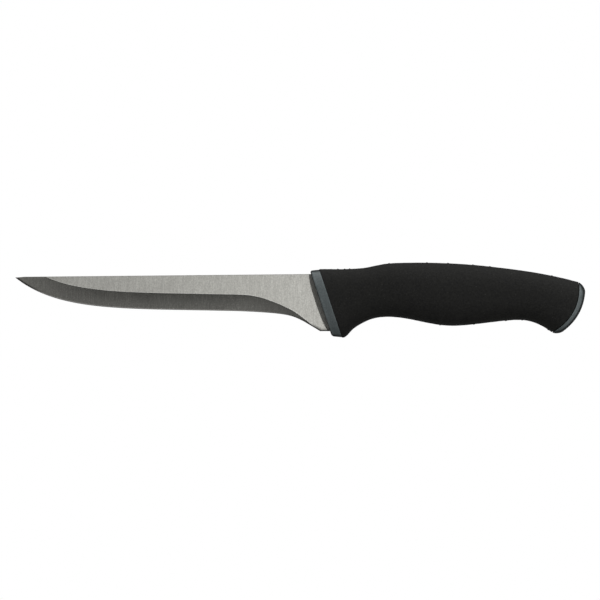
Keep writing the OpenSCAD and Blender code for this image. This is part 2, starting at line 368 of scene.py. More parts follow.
def blade_lines(stations=230, crowding=1.12):
    """Paired points along the cutting edge and the spine, closer together at the tip."""
    low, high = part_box("blade")
    heel_x = high.z * math.tan(COLLAR_LEAN)
    lower = Curve(*outline_points("blade", -1, low.x, heel_x).T)
    upper = Curve(*outline_points("blade", 1, low.x, -heel_x).T)
    spread = np.linspace(0, 1, stations) ** crowding
    edge_x = low.x + (heel_x - low.x) * spread
    spine_x = low.x + (-heel_x - low.x) * spread
    for corner in lower.corners:
        edge_x[np.abs(edge_x - corner).argmin()] = corner
    edge_line = np.stack([edge_x, lower(edge_x)], 1)
    spine_line = np.stack([spine_x, upper(spine_x)], 1)
    spine_line[0] = edge_line[0]
    return edge_line, spine_line


def blade_grid(edge_line, spine_line):
    """Points in rows from edge to spine, one of them on the crest where flat and bevel meet.

    Rows move closer together where the blade is low, and where the crest nears the edge or the spine.
    """
    low_blade = 4 * MM
    full_room = 1.2 * MM
    least_room = 0.12 * MM
    spine_room = 0.35 * MM
    length = np.linalg.norm(spine_line - edge_line, axis=1)
    small = np.minimum(1, length / low_blade)
    crest = crest_distance(edge_line, spine_line, edge_line)
    crest = np.clip(crest, least_room * small, length - least_room * small)
    below = np.minimum(small, crest / full_room)
    above = np.minimum(small, (length - crest) / full_room)
    honed = [HONED_WIDTH * s * below for s in HONED_ROWS]
    bevel_end = crest - CREST_WIDTH * below
    bevel = [honed[-1] + (bevel_end - honed[-1]) * t for t in np.linspace(0, 1, 11)[1:]]
    flat_start = crest + CREST_WIDTH * above
    flat_end = length - spine_room * above
    flat = [flat_start + (flat_end - flat_start) * t for t in np.linspace(0, 1, 10) ** 1.8]
    rim = [length - CORNER_ROUNDING * s * above for s in SPINE_ROWS]
    places = np.stack(honed + bevel + [crest] + flat + rim, 1)
    share = places / np.maximum(length, 1e-9)[:, None]
    return edge_line[:, None] + share[..., None] * (spine_line - edge_line)[:, None]


def blade_sheet(build, grid, half, side):
    """One side of the blade, as rows of vertices joined by quads, with the honed facet marked."""
    honed = build.faces.layers.float["honed"]
    sheet = [
        [build.verts.new((p[0], side * h, p[1])) for p, h in zip(row, row_half)]
        for row, row_half in zip(grid, half)
    ]
    for i in range(len(sheet) - 1):
        for j in range(len(sheet[0]) - 1):
            corners = [sheet[i][j], sheet[i + 1][j], sheet[i + 1][j + 1], sheet[i][j + 1]]
            build.faces.new(corners)[honed] = float(j + 1 < len(HONED_ROWS))
    return sheet


def join_sheets(build, near, far):
    """Closes the blade round its outline: edge, spine, tip and rear end."""
    for i in range(len(near) - 1):
        build.faces.new([near[i][0], far[i][0], far[i + 1][0], near[i + 1][0]])
        build.faces.new([near[i + 1][-1], far[i + 1][-1], far[i][-1], near[i][-1]])
    for j in range(len(near[0]) - 1):
        build.faces.new([near[-1][j], far[-1][j], far[-1][j + 1], near[-1][j + 1]])
        build.faces.new([near[0][j + 1], far[0][j + 1], far[0][j], near[0][j]])


def mark_faces(build, edge_line):
    """Stores which faces are ground and how clearly each is honed, and keeps their borders sharp."""
    least_bevel = 0.15 * MM
    honed_from = 1.5 * MM
    honed_fade = 3 * MM
    ground = build.faces.layers.float.new("ground")
    honed = build.faces.layers.float["honed"]
    faces = list(build.faces)
    centres = np.array([f.calc_center_median() for f in faces])[:, [0, 2]]
    gap, edge_x = edge_distance(centres, edge_line)
    width = bevel_width_at(edge_x)
    is_ground = (gap < width) & (width > least_bevel)
    clearness = np.clip((width - honed_from) / honed_fade, 0, 1)
    for face, inside, share in zip(faces, is_ground, clearness):
        face[ground] = float(inside)
        face[honed] *= share
    for edge in build.edges:
        edge.smooth = len({(f[ground], f[honed] > 0) for f in edge.link_faces}) < 2


def mark_vertices(build, edge_line):
    """Stores how near each vertex is to the crest, a rim, the narrow bevel and the collar: the steel
    paints highlight and shade from them and darkens the narrow bevel.
    """
    points = np.array([v.co for v in build.verts])[:, [0, 2]]
    gap, edge_x = edge_distance(points, edge_line)
    width = bevel_width_at(edge_x)
    blunt = np.clip(1 - width / BLUNT_BELOW, 0, 1)
    shaded_rim_share = np.maximum(blunt, np.interp(edge_x / cad_low.x, SHADED_TIP, (0, TIP_SHADE)))
    edge_shade_share = EDGE_SHADE_STRENGTH * (1 - gap / EDGE_SHADE_WIDTH)
    ahead = -(points[:, 0] * math.cos(COLLAR_LEAN) + points[:, 1] * math.sin(COLLAR_LEAN))
    # crest, rim and corner carry the steel's painted highlight and painted shade; narrow darkens the
    # narrow bevel
    marks = {
        "crest": 1 - np.abs(gap - width) / CREST_WIDTH,
        "rim": np.maximum(shaded_rim_share * (1 - gap / RIM_SHADE_WIDTH), edge_shade_share),
        "narrow": (BEVEL_WIDTH - width) / NARROW_DARKENING_RANGE,
        "corner": 1 - ahead / CORNER_SHADE_WIDTH,
    }
    for name, shares in marks.items():
        layer = build.verts.layers.float.new(name)
        for vert, share in zip(build.verts, np.clip(shares, 0, 1)):
            vert[layer] = share


def tang_helper():
    """The CAD blade's tang, cut off behind the blade and drawn a little way into it."""
    cut_behind = 0.02 * MM
    overlap = 2 * MM
    build = bmesh.new()
    build.from_mesh(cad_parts["blade"].data)
    bmesh.ops.remove_doubles(build, verts=build.verts, dist=1e-6)
    back = Vector((math.cos(COLLAR_LEAN), 0, math.sin(COLLAR_LEAN)))
    everything = build.verts[:] + build.edges[:] + build.faces[:]
    bmesh.ops.bisect_plane(
        build, geom=everything, plane_co=back * cut_behind, plane_no=back, clear_inner=True
    )
    rim = [e for e in build.edges if e.is_boundary]
    grown = bmesh.ops.extrude_edge_only(build, edges=rim)["geom"]
    moved = [g for g in grown if isinstance(g, bmesh.types.BMVert)]
    bmesh.ops.translate(build, verts=moved, vec=back * -overlap)
    bmesh.ops.holes_fill(build, edges=[e for e in build.edges if e.is_boundary])
    bmesh.ops.recalc_face_normals(build, faces=build.faces)
    return link_object("tang", build)


def build_blade():
    """The blade as a mirrored pair of curved sheets, joined round its outline, with its tang."""
    edge_line, spine_line = blade_lines()
    grid = blade_grid(edge_line, spine_line)
    half = half_thickness(grid.reshape(-1, 2), edge_line, spine_line).reshape(grid.shape[:2])
    build = bmesh.new()
    build.faces.layers.float.new("honed")
    near = blade_sheet(build, grid, half, -1)
    far = blade_sheet(build, grid, half, 1)
    join_sheets(build, near, far)
    bmesh.ops.remove_doubles(build, verts=build.verts, dist=2e-6)
    bmesh.ops.dissolve_degenerate(build, edges=build.edges, dist=1e-7)
    mark_faces(build, edge_line)
    mark_vertices(build, edge_line)
    shade(build)
    piece = make_piece("blade_and_tang", build, "blade_steel", "blade")
    combine(piece, tang_helper(), "UNION")
    return piece


# ---- Handle ----


def signed_power(values, power):
    """A power that keeps the values' signs."""
    return np.sign(values) * np.abs(values) ** power


def section_shares(angles):
    """How far up and across the handle's section its points lie, from -1 to 1."""
    return signed_power(np.sin(angles), 2 / SQUARENESS), signed_power(np.cos(angles), 2 / SQUARENESS)


def section_ring(top, bottom, half_width, angles, inset=0.0, bulge=0.0, shift=0.0):
    """A ring round the handle between a top and a bottom point (x, z), as on the CAD handle.

    inset shrinks it, bulge moves its middle to the rear and shift moves all of it.
    """
    middle = (top + bottom) / 2
    half = np.linalg.norm(top - bottom) / 2
    up = (top - middle) / half
    rear = np.array([up[1], -up[0]])
    s, q = section_shares(angles)
    back = bulge * (1 - s**2) + shift
    side = middle + up * ((half - inset) * s)[:, None] + rear * back[:, None]
    return np.stack([side[:, 0], q * (half_width - inset), side[:, 1]], 1)


def even_angles(count):
    """Equal steps round a full turn, in radians."""
    return np.arange(count) / count * 2 * math.pi


def skin_angles():
    """Angles round the grip, closer together at the parting line over and under it."""
    fine = np.radians([0.0, 0.3, 0.7, 1.3, 2.2])
    turns = np.concatenate([fine, -fine])
    close = np.concatenate([turns - math.pi / 2, turns + math.pi / 2])
    angles = np.concatenate([even_angles(96), np.mod(close, 2 * math.pi)])
    return np.unique(angles.round(9))


class HandleForm:
    """The handle's skin, read from the CAD grip. Places along it run from 0 to last."""

    def __init__(self):
        low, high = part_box("soft_grip")
        triangles = node_triangles("soft_grip")
        points = triangles.reshape(-1, 3)
        lowest_x = points[points[:, 2].argmin(), 0]
        self.top = outline_points("soft_grip", 1, low.x, high.x, reach=1e-6)
        below = outline_points("soft_grip", -1, lowest_x, high.x, reach=1e-6)
        self.bottom = below[: len(self.top)]
        self.last = len(self.top) - 1
        self.places = np.arange(self.last + 1)
        middles = (self.top[:, 0] + self.bottom[:, 0]) / 2
        widths = [np.abs(slice_points(triangles, x)[:, 0]).max() for x in middles]
        self.top_curve = Curve(*self.top.T)
        self.bottom_curve = Curve(*self.bottom.T, sharp=10)
        self.width_curve = Curve(self.places, widths, sharp=10)

    def ends(self, place):
        """The top and the bottom point of the skin at a place along the handle."""
        top_x = np.interp(place, self.places, self.top[:, 0])
        bottom_x = np.interp(place, self.places, self.bottom[:, 0])
        top = np.array([top_x, self.top_curve(top_x)])
        return top, np.array([bottom_x, self.bottom_curve(bottom_x)])

    def half_width(self, place):
        return float(self.width_curve(place))

    def ring(self, place, angles, inset=0.0, bulge=0.0, shift=0.0):
        top, bottom = self.ends(place)
        return section_ring(top, bottom, self.half_width(place), angles, inset, bulge, shift)

    def joint_bulge(self, place):
        """How far the skin's middle is drawn to the rear, which grows towards the cap."""
        t = np.clip((place - self.last) / BULGING_PLACES + 1, 0, 1)
        return JOINT_BULGE * t**2 * (3 - 2 * t)


form = HandleForm()


def skin_places(count=151):
    """Places of the grip's rings, closer together at the nibs on its parting line."""
    near_nib = np.array([-2, -1, -0.5, 0, 0.5, 1, 2]) * NIB_LENGTH
    over = np.interp((TOP_NIBS[:, None] + near_nib).ravel(), form.top[:, 0], form.places)
    under = np.interp((BOTTOM_NIBS[:, None] + near_nib).ravel(), form.bottom[:, 0], form.places)
    even = np.linspace(0, form.last, count)[1:-1]
    return np.unique(np.concatenate([even, over, under]).round(6))


def parting_ridge(ring, top, bottom):
    """Raises a ring's points over and under the handle into the parting line's ridge and nibs."""
    reach = 1 * MM
    wavers_per_mm = 0.8
    raised = ring.copy()
    up = (top - bottom) / np.linalg.norm(top - bottom)
    for side, foot, nibs in ((1, top, TOP_NIBS), (-1, bottom, BOTTOM_NIBS)):
        near = (ring[:, [0, 2]] - foot) @ (up * side) > -reach
        waver = 1 + noise.noise(Vector((foot[0] / MM * wavers_per_mm, side * 5.0, 0.5)))
        nib = NIB_HEIGHT * np.exp(-(((nibs - foot[0]) / NIB_LENGTH) ** 2)).sum()
        height = RIDGE_HEIGHT * waver + nib
        lift = near * height * np.exp(-((ring[:, 1] / RIDGE_WIDTH) ** 2))
        raised[:, 0] += lift * up[0] * side
        raised[:, 2] += lift * up[1] * side
    return raised


def lip(radius, steps=5):
    """Steps round a lip's quarter circle, as (inset, distance from the end face, wear and painted
    highlight, which peak half-way round).
    """
    return [
        (radius * (1 - math.sin(turn)), radius * (1 - math.cos(turn)), math.sin(2 * turn))
        for turn in np.linspace(0, math.pi / 2, steps)
    ]


def build_grip():
    """The soft sleeve, with rounded lips at both ends and a parting line over and under it."""
    angles = skin_angles()
    build = new_build()
    rings = []
    for inset, depth, wear_and_painted_light in lip(GRIP_LIP):
        rings.append(add_ring(build, form.ring(0, angles, inset=inset, shift=depth), wear_and_painted_light))
    front_x = form.ends(0)[0][0] + 2 * GRIP_LIP
    rear_x = form.ends(form.last)[0][0] - 2 * GRIP_LIP
    first, final = np.interp([front_x, rear_x], form.top[:, 0], form.places)
    for place in skin_places():
        if first < place < final:
            ring = form.ring(place, angles, bulge=form.joint_bulge(place))
            rings.append(add_ring(build, parting_ridge(ring, *form.ends(place))))
    for inset, depth, wear_and_painted_light in reversed(lip(GRIP_LIP)):
        back = -depth - JOINT_GAP
        points = form.ring(form.last, angles, inset=inset, bulge=JOINT_BULGE, shift=back)
        rings.append(add_ring(build, points, wear_and_painted_light))
    inner_end = form.ring(form.last, angles, inset=GRIP_WALL, bulge=JOINT_BULGE, shift=-JOINT_GAP)
    rings.append(add_ring(build, inner_end))
    for place in form.places[::-1]:
        rings.append(add_ring(build, form.ring(place, angles, inset=GRIP_WALL)))
    bridge_all(build, rings + rings[:1])
    shade(build)
    return make_piece("grip_sleeve", build, "grip_rubber", "soft_grip")


def cap_ring(angles, size, rise):
    """A ring at a share of the cap's size, risen by a share of the way from joint to crown."""
    top, bottom = form.ends(form.last)
    middle = (top + bottom) / 2
    up = (top - bottom) / 2
    rear = np.array([up[1], -up[0]]) / np.linalg.norm(up)
    s, q = (size * share for share in section_shares(angles))
    joint = JOINT_BULGE * (1 - s**2)
    crown = CAP_CROWN * (1 - CROWN_FALL * s**2 + CROWN_SKEW * s) - CROWN_SIDE_FALL * q**2
    back = joint + (crown - joint) * rise
    side = middle + up * s[:, None] + rear * back[:, None]
    return np.stack([side[:, 0], q * form.half_width(form.last), side[:, 1]], 1)


def plug_rings(build, angles):
    """The plug in the grip's mouth and the lip at the joint, with grime and painted shade in the groove
    between them.
    """
    flat_end = form.ring(form.last, angles, inset=GRIP_WALL)
    bulged_end = form.ring(form.last, angles, inset=GRIP_WALL, bulge=JOINT_BULGE)
    # The groove's ring gets grime and painted shade; the lip's rings after it get wear and a painted
    # highlight
    rings = [add_ring(build, flat_end), add_ring(build, bulged_end, -1)]
    for inset, depth, wear_and_painted_light in lip(CAP_LIP, 4):
        points = form.ring(form.last, angles, inset=inset, bulge=JOINT_BULGE, shift=depth)
        rings.append(add_ring(build, points, wear_and_painted_light if depth else -1))
    return rings


def build_cap():
    """The cap: a plug in the grip's mouth, a small lip at the joint, and a rounded crown."""
    rim_wear = 0.8
    innermost = 0.04
    angles = even_angles(112)
    build = new_build()
    rings = plug_rings(build, angles)
    for turn in np.radians(np.linspace(18, 90, 12)):
        points = cap_ring(angles, 1 - RIM_SHARE * (1 - math.cos(turn)), math.sin(turn))
        rings.append(add_ring(build, points, math.sin(2 * turn) ** 2 * rim_wear))
    for t in np.linspace(0, 1, 14)[1:]:
        size = (1 - RIM_SHARE) * (1 - t) + innermost * t
        rings.append(add_ring(build, cap_ring(angles, size, 1)))
    bridge_all(build, rings)
    close_ring(build, rings[0])
    close_ring(build, rings[-1])
    bmesh.ops.remove_doubles(build, verts=build.verts, dist=1e-6)
    shade(build)
    return make_piece("butt_cap", build, "hard_grey", "end_cap")


def pocket_helper():
    """The space that the tang takes in the collar."""
    build = bmesh.new()
    tilt = math.tan(COLLAR_LEAN)
    low = POCKET_LEVEL - POCKET_HEIGHT / 2
    high = POCKET_LEVEL + POCKET_HEIGHT / 2
    outline = [(POCKET_FRONT, low), (POCKET_REAR, low), (POCKET_REAR, high), (POCKET_FRONT, high)]
    sides = [
        [build.verts.new((start - z * tilt, y, z)) for start, z in outline]
        for y in (-POCKET_THICKNESS / 2, POCKET_THICKNESS / 2)
    ]
    bridge(build, *sides)
    build.faces.new(sides[0])
    build.faces.new(sides[1][::-1])
    bmesh.ops.recalc_face_normals(build, faces=build.faces)
    return link_object("pocket", build)


def collar_ring(angles, depth, inset=0.0):
    """A ring round the collar at a depth behind its front plane."""
    along = np.array([1 / math.cos(COLLAR_LEAN), 0])
    upward = np.array([-math.sin(COLLAR_LEAN), math.cos(COLLAR_LEAN)])
    left = COLLAR_THICKNESS - depth
    narrowed = COLLAR_TAPER * left / COLLAR_THICKNESS
    lowered = upward * (GRIP_STEP + narrowed) / math.cos(COLLAR_LEAN)
    top, bottom = form.ends(0)
    high = top - along * left - lowered
    low = bottom - along * left + lowered
    return section_ring(high, low, form.half_width(0) - GRIP_STEP - narrowed, angles, inset)


def build_collar():
    """The collar: a leaning disc that flares to the rear, with a rounded front rim."""
    front_inset = COLLAR_ROUNDING + 0.5 * MM
    front_wear = 0.1
    sides = np.linspace(COLLAR_ROUNDING, COLLAR_THICKNESS - COLLAR_LIP, 6)[1:-1]
    angles = even_angles(112)
    build = new_build()
    rings = [add_ring(build, collar_ring(angles, 0, front_inset), front_wear)]
    for inset, depth, wear_and_painted_light in lip(COLLAR_ROUNDING, 10):
        rings.append(add_ring(build, collar_ring(angles, depth, inset), wear_and_painted_light))
    for depth in sides:
        # The collar's sides are darkened a little
        rings.append(add_ring(build, collar_ring(angles, depth), -COLLAR_SIDE_DARKENING))
    for inset, depth, wear_and_painted_light in reversed(lip(COLLAR_LIP, 4)):
        rings.append(add_ring(build, collar_ring(angles, COLLAR_THICKNESS - depth, inset), wear_and_painted_light))
    bridge_all(build, rings)
    build.faces.new(rings[0])
    build.faces.new(rings[-1])
    shade(build)
    piece = make_piece("collar_ring", build, "hard_grey", "front_collar")
    combine(piece, pocket_helper(), "DIFFERENCE")
    return piece


# ---- Material helpers ----


def new_material(name):
    """A node material, its tree and its Principled shader."""
    material = bpy.data.materials.new(name)
    material.use_nodes = True
    tree = material.node_tree
    return material, tree, tree.nodes["Principled BSDF"]


def feed(tree, socket, value):
    """Links a socket to another one, or sets it to a value."""
    if isinstance(value, bpy.types.NodeSocket):
        tree.links.new(value, socket)
    elif socket.type == "RGBA":
        socket.default_value = (*value, 1)
    else:
        socket.default_value = value


def object_coords(tree, scale=(1, 1, 1)):
    """Object coordinates in metres, times a scale along each axis."""
    coords = tree.nodes.new("ShaderNodeTexCoord").outputs["Object"]
    scaled = tree.nodes.new("ShaderNodeVectorMath")
    scaled.operation = "MULTIPLY"
    feed(tree, scaled.inputs[0], coords)
    feed(tree, scaled.inputs[1], scale)
    return scaled.outputs[0]


def noise_value(tree, scale, detail=2.0, roughness=0.5, distortion=0.0):
    """Noise from 0 to 1 whose features per metre along X, Y and Z are given by scale."""
    made = tree.nodes.new("ShaderNodeTexNoise")
    feed(tree, made.inputs["Vector"], object_coords(tree, scale))
    feed(tree, made.inputs["Scale"], 1.0)
    feed(tree, made.inputs["Detail"], detail)
    feed(tree, made.inputs["Roughness"], roughness)
    feed(tree, made.inputs["Distortion"], distortion)
    return made.outputs["Fac"]


def calc(tree, operation, *values):
    """The result of a maths node."""
    made = tree.nodes.new("ShaderNodeMath")
    made.operation = operation
    for socket, value in zip(made.inputs, values):
        feed(tree, socket, value)
    return made.outputs[0]


def remap(tree, value, low, high, to_low=0.0, to_high=1.0, smooth=False):
    """A value's range stretched to another range, without going past it."""
    made = tree.nodes.new("ShaderNodeMapRange")
    made.interpolation_type = "SMOOTHSTEP" if smooth else "LINEAR"
    feed(tree, made.inputs["Value"], value)
    feed(tree, made.inputs["From Min"], low)
    feed(tree, made.inputs["From Max"], high)
    feed(tree, made.inputs["To Min"], to_low)
    feed(tree, made.inputs["To Max"], to_high)
    return made.outputs["Result"]


def mix_values(tree, share, first, second):
    """One value mixed into another."""
    made = tree.nodes.new("ShaderNodeMix")
    feed(tree, made.inputs[0], share)
    feed(tree, made.inputs[2], first)
    feed(tree, made.inputs[3], second)
    return made.outputs[0]


def mix(tree, share, first, second):
    """One colour mixed into another."""
    made = tree.nodes.new("ShaderNodeMix")
    made.data_type = "RGBA"
    made.clamp_factor = True
    feed(tree, made.inputs["Factor"], share)
    feed(tree, made.inputs[6], first)
    feed(tree, made.inputs[7], second)
    return made.outputs[2]


def attribute(tree, name):
    """A value stored on the mesh."""
    made = tree.nodes.new("ShaderNodeAttribute")
    made.attribute_name = name
    return made.outputs["Fac"]


def turned_away(tree):
    """0 where a surface faces the viewer, 1 where it is seen edge-on."""
    weight = tree.nodes.new("ShaderNodeLayerWeight")
    feed(tree, weight.inputs["Blend"], 0.5)
    return weight.outputs["Facing"]


def bump(tree, height, distance, strength=1.0, normal=None):
    """The normal of a surface raised by a height from 0 to 1 times a distance."""
    made = tree.nodes.new("ShaderNodeBump")
    feed(tree, made.inputs["Height"], height)
    feed(tree, made.inputs["Distance"], distance)
    feed(tree, made.inputs["Strength"], strength)
    if normal is not None:
        feed(tree, made.inputs["Normal"], normal)
    return made.outputs["Normal"]


# ---- Materials ----


def steel_colour(tree, ground, grain, fine):
    """The steel's colour: grain, pits and a darker narrow bevel, with painted highlight and painted
    shade along the crest, painted shade along the edge, on the rims and in the collar's corner, and a
    paler honed facet that is partly a painted highlight.
    """
    dark_flat = (0.53, 0.525, 0.49)
    pale_flat = (0.7, 0.695, 0.65)
    dark_bevel = (0.46, 0.455, 0.42)
    pale_bevel = (0.66, 0.655, 0.605)
    crest_painted_highlight = (0.92, 0.91, 0.88)
    crest_painted_shade = (0.14, 0.138, 0.126)
    narrow_bevel_darkening = (0.1, 0.098, 0.09)
    honed_and_highlit_steel = (0.85, 0.84, 0.79)
    pits = (0.33, 0.325, 0.3)
    collar_corner_painted_shade = (0.2, 0.197, 0.182)
    rim_painted_shade = (0.04, 0.039, 0.036)

    # Painted highlight on the crest's flat side and painted shade on its bevel side
    crest = calc(tree, "MULTIPLY", attribute(tree, "crest"), 0.85)
    # The bevel is darker where it is narrower
    narrow = calc(tree, "MULTIPLY", attribute(tree, "narrow"), 0.42)
    # Painted shade on the blade in the corner by the collar, deepening the collar's cast shadow
    corner = calc(tree, "MULTIPLY", attribute(tree, "corner"), 0.45)
    # Painted shade along the edge and on the rims of the blunt heel and the tip
    rim = remap(tree, attribute(tree, "rim"), 0.0, 0.5, 0.0, 0.93)
    short = noise_value(tree, (1900, 1900, 1500), 1.0, 0.5)

    flat = mix(tree, remap(tree, grain, 0.35, 0.65), dark_flat, pale_flat)
    flat = mix(tree, crest, flat, crest_painted_highlight)
    bevel = mix(tree, remap(tree, fine, 0.35, 0.65), dark_bevel, pale_bevel)
    bevel = mix(tree, crest, bevel, crest_painted_shade)
    bevel = mix(tree, narrow, bevel, narrow_bevel_darkening)
    colour = mix(tree, ground, flat, bevel)
    # The honed facet is paler, partly as a painted highlight
    colour = mix(tree, attribute(tree, "honed"), colour, honed_and_highlit_steel)
    colour = mix(tree, remap(tree, short, 0.25, 0.75, 0.0, 0.6), colour, pits)
    colour = mix(tree, corner, colour, collar_corner_painted_shade)
    return mix(tree, rim, colour, rim_painted_shade)


def steel_roughness(tree, ground):
    """Satin on the flats and smoother on the bevel, both with cloudy variation."""
    cloud = noise_value(tree, (60, 60, 90), 3.0, 0.55)
    flat = remap(tree, cloud, 0.3, 0.7, 0.46, 0.52)
    bevel = remap(tree, cloud, 0.3, 0.7, 0.18, 0.21)
    return mix_values(tree, ground, flat, bevel)


def steel_material():
    """Satin blade steel: brushed across its flats, finely ground and darker on the hollow bevel."""
    material, tree, shader = new_material("brushed_blade_steel")
    ground = attribute(tree, "ground")
    fine = noise_value(tree, (3000, 300, 170), 3.0, 0.62)
    coarse = noise_value(tree, (900, 100, 70), 2.0, 0.5)
    scratch = noise_value(tree, (160, 900, 5200), 2.0, 0.5)
    grain = mix_values(tree, 0.35, fine, coarse)
    grain_bump = bump(tree, grain, 0.006 * MM)
    feed(tree, shader.inputs["Base Color"], steel_colour(tree, ground, grain, fine))
    feed(tree, shader.inputs["Metallic"], 1.0)
    feed(tree, shader.inputs["Roughness"], steel_roughness(tree, ground))
    feed(tree, shader.inputs["Normal"], bump(tree, scratch, 0.002 * MM, normal=grain_bump))
    return material


def rubber_material():
    """Matte black rubber: pebbled, mottled, with pale specks and lips lighter from wear and a painted
    highlight.
    """
    dark_rubber = (0.0033, 0.0033, 0.003)
    pale_rubber = (0.0108, 0.0108, 0.0098)
    dust = (0.03, 0.03, 0.028)
    worn_and_highlit_rubber = (0.03, 0.03, 0.029)
    material, tree, shader = new_material("matte_grip_rubber")
    mottle = noise_value(tree, (260, 260, 260), 4.0, 0.6)
    fleck = noise_value(tree, (1150, 1150, 1150), 2.0, 0.5)
    pebble = noise_value(tree, (1500, 1500, 1500), 3.0, 0.6)
    speck = noise_value(tree, (1500, 1500, 1500), 1.0, 0.4)
    blotch = mix_values(tree, 0.6, mottle, fleck)
    wear_and_painted_light = calc(tree, "MULTIPLY", attribute(tree, "wear_and_painted_light"), 0.2)
    base = mix(tree, remap(tree, blotch, 0.36, 0.64), dark_rubber, pale_rubber)
    base = mix(tree, remap(tree, speck, 0.72, 0.78), base, dust)
    # Lighter lips, from wear and a painted highlight
    base = mix(tree, wear_and_painted_light, base, worn_and_highlit_rubber)
    feed(tree, shader.inputs["Base Color"], base)
    feed(tree, shader.inputs["Roughness"], remap(tree, mottle, 0.3, 0.7, 0.72, 0.86))
    feed(tree, shader.inputs["Specular IOR Level"], 0.18)
    feed(tree, shader.inputs["Normal"], bump(tree, pebble, 0.08 * MM, 0.8))
    return material


def hard_grey_material():
    """Blue-grey moulded plastic: fine-grained, paler on rims from rubbing and a painted highlight, with
    grime and painted shade in the groove and painted shade where seen edge-on.

    Wear over 0 is rubbing and painted highlight; wear under 0 is grime and painted shade in the groove,
    and a plain darkening on the collar's sides.
    """
    dark_grey = (0.082, 0.099, 0.102)
    pale_grey = (0.098, 0.117, 0.12)
    rubbed_and_highlit_grey = (0.2, 0.22, 0.22)
    speckle_grey = (0.035, 0.043, 0.045)
    grime_and_painted_shade = (0.004, 0.004, 0.004)
    edge_on_painted_shade = (0.006, 0.007, 0.007)
    material, tree, shader = new_material("blue_grey_plastic")
    wear_and_painted_light = attribute(tree, "wear_and_painted_light")
    grain = noise_value(tree, (2400, 2400, 2400), 2.0, 0.5)
    speckle = noise_value(tree, (1500, 1500, 1500), 2.0, 0.5)
    cloud = noise_value(tree, (180, 180, 180), 3.0, 0.55)
    patchy = calc(tree, "MULTIPLY", wear_and_painted_light, remap(tree, cloud, 0.35, 0.6, 0.1, 0.45))
    edge_on = turned_away(tree)
    base = mix(tree, remap(tree, cloud, 0.3, 0.7), dark_grey, pale_grey)
    # Paler on the rims, from rubbing and a painted highlight
    base = mix(tree, patchy, base, rubbed_and_highlit_grey)
    base = mix(tree, remap(tree, speckle, 0.3, 0.7, 0.0, 0.55), base, speckle_grey)
    # Grime and painted shade in the cap's groove; the collar's sides are darkened a little
    base = mix(tree, remap(tree, wear_and_painted_light, -1.0, 0.0, 0.9, 0.0), base, grime_and_painted_shade)
    # Painted shade where the grey is seen edge-on, with its specular turned down there too
    base = mix(tree, remap(tree, edge_on, 0.35, 0.6, 0.0, 0.88), base, edge_on_painted_shade)
    feed(tree, shader.inputs["Base Color"], base)
    feed(tree, shader.inputs["Roughness"], remap(tree, cloud, 0.3, 0.7, 0.5, 0.6))
    feed(tree, shader.inputs["Specular IOR Level"], remap(tree, edge_on, 0.35, 0.6, 0.4, 0.05))
    feed(tree, shader.inputs["Normal"], bump(tree, grain, 0.02 * MM, 0.5))
    return material


def core_material():
    """Glass-filled core plastic, with its pale fibres showing faintly."""
    dark_core = (0.16, 0.175, 0.185)
    pale_core = (0.22, 0.235, 0.245)
    material, tree, shader = new_material("filled_core_plastic")
    flow = noise_value(tree, (300, 900, 1500), 3.0, 0.6, 0.4)
    grain = noise_value(tree, (2500, 2500, 2500), 2.0, 0.5)
    base = mix(tree, remap(tree, flow, 0.35, 0.7), dark_core, pale_core)
    feed(tree, shader.inputs["Base Color"], base)
    feed(tree, shader.inputs["Roughness"], remap(tree, grain, 0.3, 0.7, 0.5, 0.65))
    feed(tree, shader.inputs["Normal"], bump(tree, grain, 0.02 * MM, 0.4))
    return material


def rivet_material():
    """Aluminium rivets with a cloudy colour and fine tool marks."""
    dark_metal = (0.52, 0.52, 0.53)
    pale_metal = (0.68, 0.68, 0.69)
    material, tree, shader = new_material("turned_rivet_metal")
    cloud = noise_value(tree, (700, 700, 700), 3.0, 0.6)
    marks = noise_value(tree, (5000, 400, 5000), 2.0, 0.5)
    base = mix(tree, remap(tree, cloud, 0.3, 0.7), dark_metal, pale_metal)
    feed(tree, shader.inputs["Base Color"], base)
    feed(tree, shader.inputs["Metallic"], 1.0)
    feed(tree, shader.inputs["Roughness"], remap(tree, marks, 0.3, 0.7, 0.28, 0.42))
    feed(tree, shader.inputs["Normal"], bump(tree, marks, 0.005 * MM, 0.6))
    return material


def give_material(piece, material):
    """Gives a piece, or a CAD node that stays, its material."""
    if not piece.material_slots:
        piece.data.materials.append(material)
    for slot in piece.material_slots:
        slot.link = "OBJECT"
        slot.material = material


# ---- Studio ----


def side_glow(tree, z, mirrored):
    """Brightness round the knife at a height z.

    It is plain for matte surfaces. Mirrored rays see a pale table below and walls that darken upwards.
    """
    plain = remap(tree, z, -0.7, 0.1, 0.31, 0.16)
    table = remap(tree, z, -0.8, -0.42, 0.1, 0.95)
    walls = remap(tree, z, -0.3, 0.0, 0.95, 0.08)
    ceiling = remap(tree, z, 0.1, 0.95, 0.0, 0.5, smooth=True)
    seen = mix_values(tree, mirrored, plain, calc(tree, "MINIMUM", table, walls))
    return calc(tree, "ADD", seen, ceiling)


def front_glow(tree, x, z):
    """Brightness square before and behind the blade, which its bevel and its flats mirror.

    It has a band at the horizon, light from far below, and a paler left side.
    """
    rising = remap(tree, z, -0.27, 0.0, 0.005, 0.19)
    falling = remap(tree, z, 0.02, 0.16, 0.19, 0.01)
    below = remap(tree, z, -0.6, -0.34, 0.4, 0.0)
    left = remap(tree, x, -0.08, -0.01, 0.14, 0.0, smooth=True)
    band = calc(tree, "MINIMUM", rising, falling)
    return calc(tree, "ADD", band, calc(tree, "MAXIMUM", below, left))


